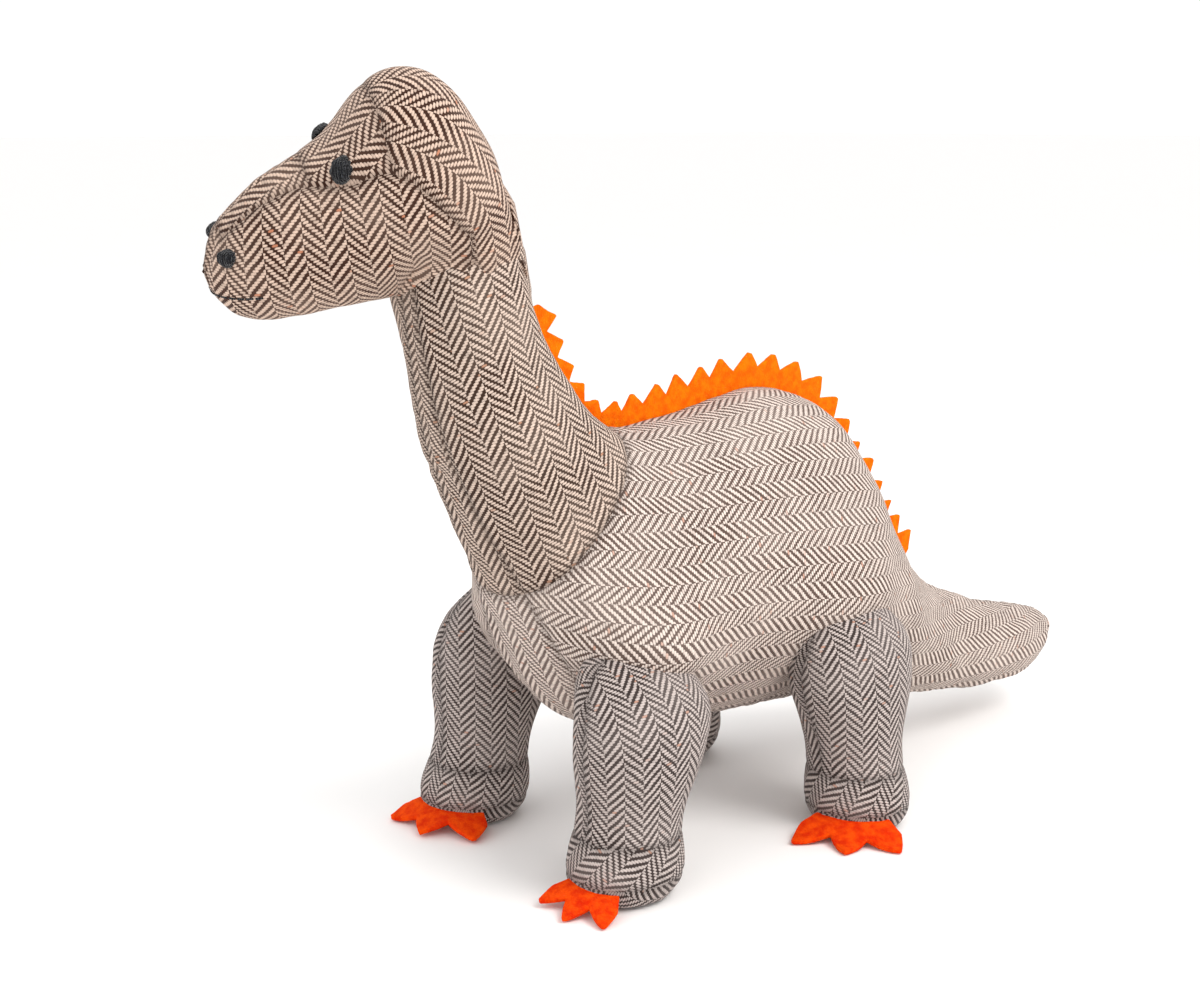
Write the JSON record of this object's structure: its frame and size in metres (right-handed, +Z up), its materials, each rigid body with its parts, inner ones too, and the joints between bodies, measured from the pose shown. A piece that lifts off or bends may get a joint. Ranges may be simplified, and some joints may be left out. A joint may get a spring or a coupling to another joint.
{
  "type": "stuffed dinosaur",
  "caption": "Long-necked stuffed dinosaur of herringbone cloth panels over soft filling, with a toothed felt crest, felt claws and wool-stitched eyes.",
  "frame": {"origin": "under the middle of the bounding box, on the plane the soles stand on", "axes": "+Z up, -Y the way the toy faces, +X its left side"},
  "size_m": [0.2067, 0.5189, 0.3576],
  "materials": {
    "tweed": "brown and cream wool herringbone, matt",
    "stuffing": "white polyester fibre",
    "crest_felt": "orange felt, matt",
    "claw_felt": "red-orange felt, matt",
    "black_wool": "black wool yarn, matt"
  },
  "bodies": {
    "root": {"body_side_left": "tweed", "body_side_right": "tweed", "belly_gusset": "tweed", "body_stuffing": "stuffing", "back_crest": "crest_felt"},
    "neck": {"neck_side_left": "tweed", "neck_side_right": "tweed", "neck_stuffing": "stuffing", "neck_crest": "crest_felt"},
    "head": {"cheek_left": "tweed", "cheek_right": "tweed", "crown_gusset": "tweed", "head_stuffing": "stuffing", "eye_left": "black_wool", "eye_right": "black_wool", "nostril_left": "black_wool", "nostril_right": "black_wool", "mouth_stitch": "black_wool"},
    "tail": {"tail_side_left": "tweed", "tail_side_right": "tweed", "tail_stuffing": "stuffing"},
    "leg_front_left": {"leg_outer_front_left": "tweed", "leg_inner_front_left": "tweed", "foot_cover_front_left": "tweed", "sole_front_left": "tweed", "claws_front_left": "claw_felt", "stuffing_front_left": "stuffing"},
    "leg_front_right": {"leg_outer_front_right": "tweed", "leg_inner_front_right": "tweed", "foot_cover_front_right": "tweed", "sole_front_right": "tweed", "claws_front_right": "claw_felt", "stuffing_front_right": "stuffing"},
    "leg_hind_left": {"leg_outer_hind_left": "tweed", "leg_inner_hind_left": "tweed", "foot_cover_hind_left": "tweed", "sole_hind_left": "tweed", "claws_hind_left": "claw_felt", "stuffing_hind_left": "stuffing"},
    "leg_hind_right": {"leg_outer_hind_right": "tweed", "leg_inner_hind_right": "tweed", "foot_cover_hind_right": "tweed", "sole_hind_right": "tweed", "claws_hind_right": "claw_felt", "stuffing_hind_right": "stuffing"}
  },
  "joints": [
    {"name": "neck_bend", "type": "hinge", "parent": "root", "child": "neck", "pos_m": [-0.00563, -0.13927, 0.197], "axis": [1, 0, 0], "range_deg": [-8, 12], "stiffness_Nm_per_rad": 8},
    {"name": "head_nod", "type": "hinge", "parent": "neck", "child": "head", "pos_m": [-0.00563, -0.16327, 0.312], "axis": [1, 0, 0], "range_deg": [-10, 10], "stiffness_Nm_per_rad": 4},
    {"name": "tail_swing", "type": "hinge", "parent": "root", "child": "tail", "pos_m": [-0.00563, 0.17873, 0.045], "axis": [0, 0, 1], "range_deg": [-15, 15], "stiffness_Nm_per_rad": 0.8},
    {"name": "leg_front_left_swing", "type": "hinge", "parent": "root", "child": "leg_front_left", "pos_m": [0.05437, -0.11177, 0.077], "axis": [1, 0, 0], "range_deg": [-12, 12], "stiffness_Nm_per_rad": 1.5},
    {"name": "leg_front_right_swing", "type": "hinge", "parent": "root", "child": "leg_front_right", "pos_m": [-0.06563, -0.10327, 0.077], "axis": [1, 0, 0], "range_deg": [-12, 12], "stiffness_Nm_per_rad": 1.5},
    {"name": "leg_hind_left_swing", "type": "hinge", "parent": "root", "child": "leg_hind_left", "pos_m": [0.05437, 0.01873, 0.077], "axis": [1, 0, 0], "range_deg": [-12, 12], "stiffness_Nm_per_rad": 1.5},
    {"name": "leg_hind_right_swing", "type": "hinge", "parent": "root", "child": "leg_hind_right", "pos_m": [-0.06563, 0.01873, 0.077], "axis": [1, 0, 0], "range_deg": [-12, 12], "stiffness_Nm_per_rad": 1.5}
  ]
}
